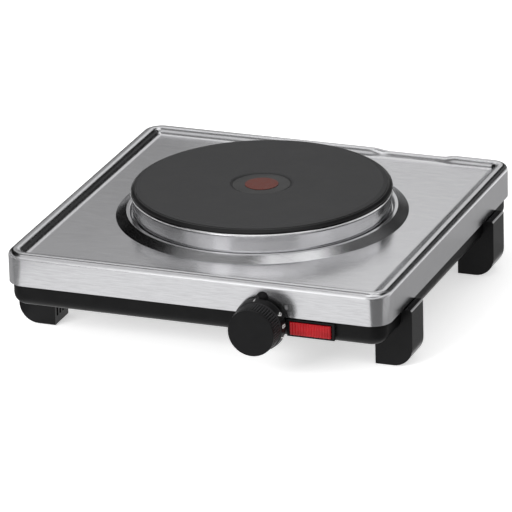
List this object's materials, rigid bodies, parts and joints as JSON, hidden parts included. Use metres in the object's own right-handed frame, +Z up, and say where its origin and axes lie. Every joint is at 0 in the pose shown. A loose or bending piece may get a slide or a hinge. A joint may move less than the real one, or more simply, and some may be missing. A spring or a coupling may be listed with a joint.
{
  "type": "hot plate burner",
  "caption": "Portable electric hot plate: round cast-iron plate in a spill ring on a rimmed steel pan, black tray, wrap-round feet, front dial knob and a red pilot lamp.",
  "frame": {"origin": "centre of the bounding box's base, on the surface the rubber pads stand on; the cooking plate's axis is at x = 0, y = +0.009 m", "axes": "+X to the right as seen from the knob's side, +Y from the knob to the rear, +Z up along the plate's axis"},
  "size_m": [0.3006, 0.314, 0.0868],
  "materials": {
    "pan_steel": "brushed, satin",
    "tray_paint": "black enamel, semi-gloss",
    "reflector_steel": "bright sheet",
    "cast_iron": "machined and coated, matt",
    "marker_enamel": "matt dark red enamel",
    "polished_steel": "polished",
    "resistance_wire": "oxidised",
    "compound": "pressed powder, matt",
    "zinc_steel": "zinc plated",
    "brass": "bright",
    "ceramic": "glazed",
    "phenolic": "moulded",
    "knob_plastic": "black, fine texture",
    "foot_plastic": "black, semi-matt",
    "lens_red": "transparent red, fluted",
    "glass": "clear",
    "rubber": "black, matt",
    "lead_sleeve": "silicone and glass-fibre sleeve",
    "earth_sleeve": "silicone and glass-fibre sleeve"
  },
  "bodies": {
    "casing": {"top_pan": "pan_steel", "base_tray": "tray_paint", "heat_reflector": "reflector_steel", "cast_iron_plate": "cast_iron", "marker_spot": "marker_enamel", "spill_ring": "polished_steel", "heating_coil_outer": "resistance_wire", "heating_coil_inner": "resistance_wire", "embedding_compound": "compound", "plate_bottom_cover": "zinc_steel", "clamp_bridge": "zinc_steel", "centre_stud": "zinc_steel", "stud_washer": "zinc_steel", "earth_tab": "brass", "stud_nut": "zinc_steel", "plate_terminal_block": "ceramic", "temperature_limiter": "phenolic", "regulator_bracket": "zinc_steel", "regulator_screw_left": "zinc_steel", "regulator_screw_right": "zinc_steel", "regulator_housing": "phenolic", "regulator_cover": "phenolic", "regulator_tab_line": "brass", "regulator_tab_load": "brass", "contact_blade": "brass", "dial_pointer": "knob_plastic", "lamp_bezel": "knob_plastic", "lamp_lens": "lens_red", "neon_lamp": "glass", "cable_gland": "rubber", "mains_terminal_block": "ceramic", "mains_block_screw": "zinc_steel", "live_lead": "lead_sleeve", "switched_lead": "lead_sleeve", "limiter_lead": "lead_sleeve", "neutral_lead": "lead_sleeve", "earth_lead": "earth_sleeve", "lamp_lead_load": "lead_sleeve", "lamp_lead_neutral": "lead_sleeve", "foot_front_left": "foot_plastic", "foot_pad_front_left": "rubber", "foot_screw_front_left": "zinc_steel", "pan_post_front_left": "zinc_steel", "foot_front_right": "foot_plastic", "foot_pad_front_right": "rubber", "foot_screw_front_right": "zinc_steel", "pan_post_front_right": "zinc_steel", "foot_rear_left": "foot_plastic", "foot_pad_rear_left": "rubber", "foot_screw_rear_left": "zinc_steel", "pan_post_rear_left": "zinc_steel", "foot_rear_right": "foot_plastic", "foot_pad_rear_right": "rubber", "foot_screw_rear_right": "zinc_steel", "pan_post_rear_right": "zinc_steel"},
    "control": {"control_knob": "knob_plastic", "control_shaft": "zinc_steel", "knob_clip": "polished_steel", "control_cam": "phenolic"},
    "follower": {"cam_follower": "brass"}
  },
  "joints": [
    {"name": "knob_turn", "type": "hinge", "parent": "casing", "child": "control", "pos_m": [0.0527, -0.1376, 0.0391], "axis": [0, 1, 0], "range_deg": [0, 300]},
    {"name": "follower_lift", "type": "hinge", "parent": "casing", "child": "follower", "pos_m": [0.046, -0.1165, 0.0511], "axis": [0, 1, 0], "range_deg": [0, 5.3]}
  ],
  "couplings": [
    {"joint": "follower_lift", "follows": "knob_turn", "ratio": 0.01724}
  ]
}
